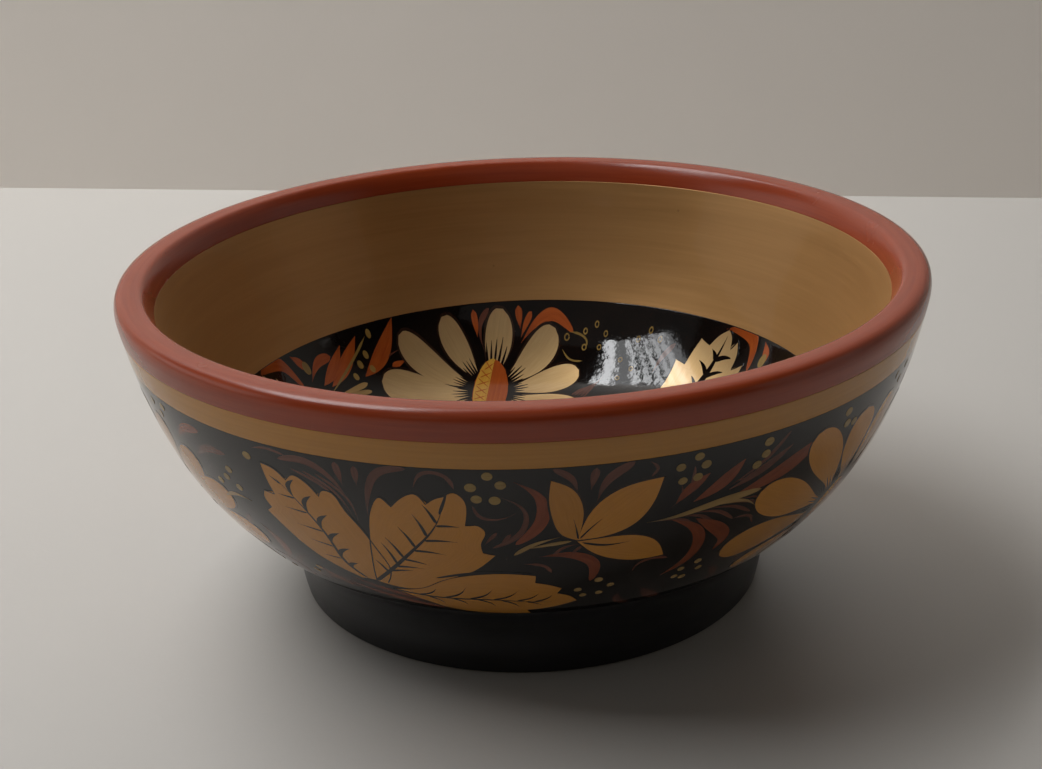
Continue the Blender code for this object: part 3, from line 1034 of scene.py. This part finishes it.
def well_daisy(kit):
    daisy(kit, (-9.5, 50),
          [(187, 28.5, 10.6, 0.8), (161, 25.5, 7.6, 0.4), (130, 19.8, 6.8, -0.3), (78, 19.3, 7.4, 0.4),
           (40, 23.7, 7.8, -0.4), (12, 24.5, 7.6, -0.3), (-16, 24.5, 8.2, -0.5), (-48, 25.5, 8.6, 0.5),
           (-79, 26.5, 9.2, -0.4), (-110, 27, 9.0, 0.4), (-142, 27, 9.4, -0.4)],
          (9.5, 4.7), 80.0, 6.5)


def well_details(kit):
    kit.red.comma([(-12.6, 63.6), (-13.0, 65.6), (-13.7, 68.0)], 1.7)
    kit.brown.comma([(-11, 61.5), (-11.8, 66), (-9.3, 68.7)], 1.3)
    kit.red.comma([(-0.9, 65.8), (-1.3, 69.5)], 1.9)
    kit.red.comma([(-0.8, 64.2), (0.4, 66.3), (2.4, 68.5)], 1.4)
    kit.red.comma([(-0.8, 63.2), (3, 66.4), (8, 67.6), (13.5, 63.8)], 2.1, belly=0.6)
    kit.gold.thread([(12.5, 64), (15, 63.2), (17, 61), (16.5, 60)], 0.45)
    kit.gold.thread([(10.3, 61), (12, 58.5), (15.5, 57.3)], 0.45)
    kit.gold.ring((11.7, 63.2), 0.6, 0.3)
    kit.gold.ring((16.2, 60.3), 0.55, 0.3)
    for centre in ((16.8, 63.3), (20, 63.7), (22.2, 61.4), (20.2, 59.3), (30.7, 57.3), (34.2, 57.4),
                   (36.3, 54.6), (25.6, 54.8), (28.2, 51.6), (24.4, 50.3)):
        kit.gold.ring(centre, 0.48, 0.30)
    for k in range(5):
        tip = (12 + 0.8 * k, 47.7 - 0.3 * k)
        kit.brown.comma([(17.2 + 0.9 * k, 49.9 + 0.5 * k), (14.5 + 0.8 * k, 49.2), tip], 0.6)
    kit.pale.thread([(20, 46), (27, 42), (33, 35)], 0.6)


def well_leaf(kit):
    leaf(kit, [(25, 19), (34, 29), (45, 38.5), (53.5, 44)],
         [[(24, 20.5), (25, 31), (31, 39.5), (36.8, 44.5), (40, 48.5)],
          [(41.6, 45.6), (44, 47.4), (46.8, 48.5)],
          [(48, 45.6), (50.5, 45.7), (53.5, 44.5)]],
         [[(26.5, 18.5), (38, 22), (48, 28.5), (55.8, 34.5)],
          [(52.4, 35.8), (54.6, 37.8), (55.2, 40.4)],
          [(53.0, 40.2), (54.0, 42.3), (53.8, 43.9)]],
         [[(43.5, 37.4), (43.2, 42.5)], [(46.5, 39.7), (45.5, 44.7)], [(49.3, 41.3), (49, 44.4)],
          [(49.5, 41.2), (53.5, 38)], [(46.5, 39.2), (51.4, 36.6)], [(42, 36.2), (47.4, 33.2)],
          [(39.8, 34.4), (39.2, 40.4)], [(36.4, 31.4), (35.0, 37.4)], [(37.6, 32.4), (43, 28.8)],
          [(32.8, 27.6), (30.6, 33.6)], [(33.4, 28.2), (38.6, 25.4)], [(29.4, 24.2), (27.4, 29.0)]],
         rib=2.4, vein=1.3, hook=0.08, full=0.35)
    kit.red.comma([(52.8, 45.2), (56.5, 41.5), (58.7, 36.5), (56.2, 32.2)], 2.3, belly=0.55)
    kit.red.comma([(61.2, 33.6), (60.6, 29.6)], 1.8)
    kit.red.comma([(58, 29.2), (62, 25.6), (63.6, 21.2)], 1.7)
    kit.brown.comma([(33.5, 48.2), (36.5, 50.8), (40.2, 51.6)], 1.4)


def well_sprays(kit):
    kit.red.lens([(-35.4, 60.5), (-37.6, 53.6), (-41.9, 45.6)], 3.3, belly=0.5)
    kit.red.lens([(-44.7, 52.4), (-46.6, 46.2), (-49.8, 37.8)], 2.7, belly=0.5)
    kit.red.lens([(-48.4, 48.2), (-49.4, 43.6), (-51.7, 36.6)], 2.3, belly=0.52)
    kit.red.comma([(-31.8, 54.2), (-35.2, 51.4)], 1.3)
    kit.gold.thread([(-50, 35.5), (-46.4, 44.6), (-42.3, 53.8)], 0.5)
    berries(kit.gold, [(-42, 50.5), (-43.3, 47.6), (-44.2, 44.2), (-40.2, 48.4), (-41.4, 54.8)], 0.75)
    kit.brown.thread([(-33.5, 55.8), (-38, 51.4), (-42.2, 45.8)], 0.5)
    for tip in ((-41.4, 44.2), (-40.2, 42.6), (-39.8, 40.9), (-40.8, 39.0)):
        kit.pale.comma([(-49, 35.6), (0.5 * (tip[0] - 48.0), 0.5 * (tip[1] + 36.6)), tip], 1.25, belly=0.8)
    kit.brown.comma([(-58.5, 20.5), (-60.5, 24), (-63.5, 25.8)], 1.8)
    kit.gold.berry((-56, 37), 1.1)


def well_heart(kit):
    """A small rosette at the middle, a guess: the rim hides it in every view from the side."""
    for k in range(6):
        tip, side = axes(60 * k + 12)
        kit.under.comma([tip * 1.4, tip * 6 + side * 0.6, tip * 11.6], 5.1, belly=0.62)
        kit.body.comma([tip * 1.8, tip * 6 + side * 0.6, tip * 11], 4.3, belly=0.62)
        curl = [tip * 4.5 + side * 4.4, tip * 10 + side * 5.6, tip * 15 + side * 3.2]
        kit.red.comma(curl, 1.9, belly=0.55)
        kit.gold.berry(tuple(tip * 15.2 - side * 1.2), 0.95)
        for share in (-0.3, 0.0, 0.3):
            kit.dark.comma([tip * 7.4 + side * share * 4, tip * 2.6 + side * share], 0.6, belly=0.9)
    kit.heart.berry((0.0, 0.0), 2.3)
    for k in range(5):
        turn = 2 * math.pi * k / 5
        kit.yellow.berry((1.25 * math.cos(turn), 1.25 * math.sin(turn)), 0.32)


def paint_outside():
    kit = Kit("belly")
    for repeat in range(REPEATS):
        kit.turn_to(repeat * PITCH)
        for motif in (leaf_left, leaf_right, leaf_centre, sprays_above_leaves, tulip, stem_and_sprays,
                      outer_daisy, sprays_beyond_daisy):
            motif(kit)
    kit.finish()


def paint_well():
    kit = Kit("well")
    for repeat in range(REPEATS):
        kit.turn_to(repeat * PITCH)
        for motif in (well_daisy, well_details, well_leaf, well_sprays):
            motif(kit)
    kit.turn_to(0.0)
    well_heart(kit)
    kit.finish()


# ---------------------------------------------------------------- studio

WALL_TURN = math.radians(-9.54)      # the wall runs a little away from square to the camera
WALL_GAP = 0.3225                    # from the bowl's axis to the wall
WALL_AWAY = (-math.sin(WALL_TURN), math.cos(WALL_TURN), 0.0)


def plain_surface(name, colour, roughness):
    """Matt and faintly clouded; beyond the wall, close under the back light, its colour is darkened as
    painted shade.
    """
    shader = Shader(name)
    place = shader.position()
    cloud = shader.noise(place, 3.0, 4.0)
    tooth = shader.noise(place, 900.0, 3.0)
    worn = tuple(0.96 * channel for channel in colour)
    tone = shader.over(worn, colour, cloud, 0.3, 0.7)
    away = shader.node("ShaderNodeVectorMath", operation="DOT_PRODUCT")
    shader.feed(away.inputs[0], shader.node("ShaderNodeNewGeometry").outputs["Position"])
    away.inputs[1].default_value = WALL_AWAY
    # painted shade: beyond the wall the table's colour drops to 0.4 of its own, darkening the patch the back
    # light falls on
    painted_shade_beyond_wall = shader.ranged(away.outputs["Value"], WALL_GAP + 0.01, WALL_GAP + 0.36, 0.0, 1.0)
    tone = shader.mix(painted_shade_beyond_wall, tone, tuple(0.4 * channel for channel in colour))
    shader.set(base_color=tone, roughness=roughness, normal=shader.bump(tooth, 0.03),
               specular_ior_level=0.25)
    return shader


def clear_from_behind(shader):
    """The bowl stays in sight for whoever stands behind the wall."""
    clear = shader.node("ShaderNodeBsdfTransparent")
    choice = shader.node("ShaderNodeMixShader")
    shader.link(shader.node("ShaderNodeNewGeometry").outputs["Backfacing"], choice.inputs[0])
    shader.link(shader.principled.outputs["BSDF"], choice.inputs[1])
    shader.link(clear.outputs["BSDF"], choice.inputs[2])
    shader.link(choice.outputs["Shader"], shader.tree.nodes["Material Output"].inputs["Surface"])


def stage_mesh(name, corners, faces, shader):
    """A piece of the set, turned about the upright axis to run along the wall."""
    mesh = bpy.data.meshes.new(name)
    mesh.from_pydata([Matrix.Rotation(WALL_TURN, 4, "Z") @ Vector(c) for c in corners], [], faces)
    mesh.materials.append(shader.material)
    made = bpy.data.objects.new(name, mesh)
    bpy.context.collection.objects.link(made)
    return made


def build_stage():
    reach, depth, top = 2.0, 0.03, 1.4
    floor = plain_surface("pale_table", (0.565, 0.54, 0.505), 0.55)
    slab = [(x, y, z) for x in (-reach, reach) for y in (-1.6, 2.2) for z in (-depth, 0.0)]
    sides = [(0, 1, 3, 2), (4, 6, 7, 5), (0, 4, 5, 1), (2, 3, 7, 6), (0, 2, 6, 4), (1, 5, 7, 3)]
    stage_mesh("table", slab, sides, floor)
    wall = plain_surface("pale_wall", (0.93, 0.870, 0.805), 0.75)
    clear_from_behind(wall)
    sheet = [(x, WALL_GAP, z) for x, z in ((-reach, -depth), (reach, -depth), (reach, top), (-reach, top))]
    backdrop = stage_mesh("wall", sheet, [(0, 1, 2, 3)], wall)
    backdrop.visible_shadow = False  # the window stands behind and above it


LIGHT_DISTANCE = 1.3                 # m from the bowl
COOL = (0.97, 0.985, 1.0)
SOFT = (1.0, 0.985, 0.96)
WARM = (1.0, 0.95, 0.88)
LIGHTS = (
    # name, azimuth, elevation (degrees), width, height (m), power (W), tint
    ("back_panel", 100, 28, 1.50, 0.45, 5.7, SOFT),
    ("left_low_panel", 178, 14, 1.10, 0.45, 1.25, SOFT),
    ("front_left_panel", 238, 48, 2.20, 0.90, 0.60, WARM),
    ("front_left_lamp", 243, 18.5, 0.30, 0.13, 0.07, WARM),
    ("right_panel", 2, 14, 1.50, 0.80, 1.05, WARM),
)
WINDOW_CORNER = (-0.341, 0.057, 1.148)    # middle of the window's near long edge
WINDOW_LENGTH_WAY = (0.37, 0.92, 0.07)    # the panes' long direction
WINDOW_STEP_WAY = (-0.80, 0.33, -0.50)    # from each pane to the next
WINDOW_LENGTH = 0.98
WINDOW_FLUX = 41.5                   # W per square metre of the brightest pane
WINDOW_PANES = (
    # start across the window (m), width (m), brightness: a clear pane, a curtained one, a blind's gaps
    (0.000, 0.062, 1.00),
    (0.062, 0.084, 0.20),
    (0.146, 0.030, 0.85),
    (0.202, 0.030, 0.70),
    (0.256, 0.036, 0.72),
    (0.316, 0.045, 0.60),
    (0.376, 0.050, 0.55),
    (0.426, 0.070, 0.20),
)


def area_light(name, place, size, power, tint, long_way=None):
    light = bpy.data.lights.new(name, "AREA")
    light.shape = "RECTANGLE"
    light.size, light.size_y = size
    light.energy = power
    light.color = tint
    lamp = bpy.data.objects.new(name, light)
    back = Vector(place).normalized()
    up = Vector(long_way) if long_way else Vector((0.0, 0.0, 1.0))
    right = up.cross(back).normalized()
    lamp.matrix_world = Matrix((right, back.cross(right), back)).transposed().to_4x4()
    lamp.location = place
    bpy.context.collection.objects.link(lamp)
    return lamp


def build_lights():
    for name, azimuth, elevation, width, height, power, tint in LIGHTS:
        turn = Matrix.Rotation(math.radians(azimuth), 4, "Z")
        tilt = Matrix.Rotation(-math.radians(elevation), 4, "Y")
        area_light(name, turn @ tilt @ Vector((LIGHT_DISTANCE, 0.0, 0.0)), (width, height), power, tint)
    for k, (start, width, brightness) in enumerate(WINDOW_PANES):
        place = Vector(WINDOW_CORNER) + (start + width / 2) * Vector(WINDOW_STEP_WAY)
        power = WINDOW_FLUX * brightness * width * WINDOW_LENGTH
        area_light("window_pane_%d" % k, place, (width, WINDOW_LENGTH), power, COOL, WINDOW_LENGTH_WAY)
    world = bpy.data.worlds.new("room")
    world.use_nodes = True
    background = world.node_tree.nodes["Background"]
    background.inputs["Color"].default_value = (0.30, 0.27, 0.24, 1.0)
    seen = world.node_tree.nodes.new("ShaderNodeLightPath")
    strength = world.node_tree.nodes.new("ShaderNodeMath")
    strength.operation = "MULTIPLY_ADD"
    strength.inputs[1].default_value = 1.3      # pale where the camera looks past the set
    strength.inputs[2].default_value = 0.012    # and hardly any light from it
    world.node_tree.links.new(seen.outputs["Is Camera Ray"], strength.inputs[0])
    world.node_tree.links.new(strength.outputs["Value"], background.inputs["Strength"])
    bpy.context.scene.world = world


CAMERA_LENS = 56.76                  # mm, on a 36 mm sensor
CAMERA_SENSOR = 36.0
CAMERA_SEAT = (0.0, -0.3554, 0.1888)
CAMERA_RIGHT = (0.99939, -0.01055, -0.03334)
CAMERA_UP = (0.03486, 0.37635, 0.92582)


def build_camera():
    """The photograph's view: from the front, 22 degrees down, with a slight roll."""
    camera = bpy.data.cameras.new("camera")
    camera.lens = CAMERA_LENS
    camera.sensor_width = CAMERA_SENSOR
    camera.clip_start = 0.01
    seat = bpy.data.objects.new("camera", camera)
    right, up = Vector(CAMERA_RIGHT), Vector(CAMERA_UP)
    seat.matrix_world = Matrix((right, up, right.cross(up))).transposed().to_4x4()
    seat.location = CAMERA_SEAT
    bpy.context.collection.objects.link(seat)
    bpy.context.scene.camera = seat


# ---------------------------------------------------------------- everything together

# Every brush paint: its material's name, its light, dark and thin-tail colours, and what else it needs
BRUSH_PAINTS = {
    "ochre": ("ochre_brushwork", (0.55, 0.240, 0.040), (0.48, 0.204, 0.032), (0.42, 0.17, 0.025)),
    "cream": ("cream_gold_brushwork", (0.62, 0.42, 0.20), (0.54, 0.35, 0.16), (0.5, 0.32, 0.14), 0.5, 0.36),
    "orange": ("orange_brushwork", (0.44, 0.100, 0.018), (0.31, 0.060, 0.012), (0.15, 0.03, 0.010)),
    # partly painted shade: the outside's orange is the well's orange, thin over black and darkened further
    # for the bowl's shaded outside
    "shaded_thin_orange": ("orange_brushwork_thinned_and_shaded", (0.27, 0.062, 0.020), (0.18, 0.040, 0.014), (0.09, 0.022, 0.01)),
    "brown": ("brown_brushwork", (0.145, 0.048, 0.028), (0.095, 0.031, 0.019), (0.05, 0.019, 0.013)),
    "pale": ("pale_brushwork", (0.42, 0.265, 0.095), (0.32, 0.195, 0.068), (0.12, 0.08, 0.04)),
    "berry": ("gold_dots", (0.33, 0.215, 0.060), (0.24, 0.150, 0.040), (0.24, 0.150, 0.040)),
    "umber": ("umber_outline", (0.035, 0.016, 0.009), (0.02, 0.010, 0.007), (0.02, 0.01, 0.007)),
    "ink": ("black_linework", (0.010, 0.006, 0.005), (0.006, 0.004, 0.0035), (0.012, 0.007, 0.005)),
    "yellow": ("yellow_touches", (0.66, 0.36, 0.055), (0.50, 0.25, 0.035), (0.3, 0.14, 0.02)),
}
PAINTS = {role: brushed_paint(*recipe) for role, recipe in BRUSH_PAINTS.items()}


def build_coats():
    black = black_ground("belly_black_ground")
    well = black_ground("well_black_ground", crinkle=0.036)
    ochre = banded_paint("ochre_band", (0.51, 0.235, 0.042), (0.45, 0.200, 0.034), (0.05, 0.10))
    red = banded_paint("cinnabar_rim", (0.345, 0.056, 0.016), (0.275, 0.040, 0.012), (0.20, 0.28))
    plans = (
        ("painted_foot", "foot_black_coat", FOOTING, satin_foot(), "satin_black_paint", 0.0, (None, None)),
        ("painted_belly_ground", "outer_black_ground", PAINTED, black, "black_lacquer", 0.0, (None, 3.1)),
        ("painted_ochre_band", "outer_ochre_band", PAINTED, ochre, "ochre_lacquer", 0.02, (3.1, 5.7)),
        ("painted_red_rim", "rim_red_coat", PAINTED, red, "cinnabar_lacquer", 0.03, (5.7, 8.3)),
        ("painted_gold_wall", "inner_gold_coat", PAINTED, turned_gold(), "gold_lacquer", 0.0, (8.3, 11.9)),
        ("painted_well_ground", "well_black_coat", PAINTED, well, "black_lacquer", 0.02, (11.9, None)),
    )
    for name, node, outline, material, slot, lift, seeds in plans:
        coat(name, node, outline, *SPANS[node], material, slot, lift, seeds)


def build_wood():
    """The turned linden body as a fine closed form: the coats' outline sunk below them, and its ring."""
    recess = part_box("underside_black_coat")
    roof = recess[1].z / MM
    mouth = recess[1].x / MM
    ring = [point for point in ring_points("turned_body") if point[1] < 0.1 * MM]
    inner = min(radius for radius, _ in ring) / MM
    outer = max(radius for radius, _ in ring) / MM
    section = [(0.0, roof), (mouth, roof), (inner, 0.0), (outer, 0.0)]
    footing = np.linspace(0.6, FOOTING.length, 24)
    painted = np.linspace(1.5, SPANS["well_black_coat"][1], 150)
    for outline, run in ((FOOTING, footing), (PAINTED, painted)):
        section += [tuple(p) for p in outline.at(run) - WOOD_DEPTH * outline.normal(run)]
    section[-1] = (0.0, section[-1][1])
    angles = np.arange(AROUND) * 2 * math.pi / AROUND
    rings = [np.stack([r * np.cos(angles), r * np.sin(angles), np.full(AROUND, z)], axis=1) * MM
             for r, z in section[1:-1]]
    top = len(rings) * AROUND
    vertices = np.concatenate(rings + [[[0.0, 0.0, section[0][1] * MM], [0.0, 0.0, section[-1][1] * MM]]])
    faces = grid_faces(len(rings), AROUND, True)
    for k in range(AROUND):
        following = (k + 1) % AROUND
        faces.append((following, k, top))
        faces.append((top - AROUND + k, top - AROUND + following, top + 1))
    piece = new_piece("bare_linden_body", vertices, faces, bare_wood(), "linden_wood")
    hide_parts("turned_body")


def dress_underside():
    """The painted recess under the foot keeps its CAD shape and gets its own material."""
    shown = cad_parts["underside_black_coat"].data
    shown.materials.clear()
    shown.materials.append(underside_paint())


build_coats()
build_wood()
dress_underside()
paint_outside()
paint_well()
build_stage()
build_lights()
build_camera()
bpy.context.scene.view_settings.view_transform = "Standard"

bpy.context.view_layer.update()
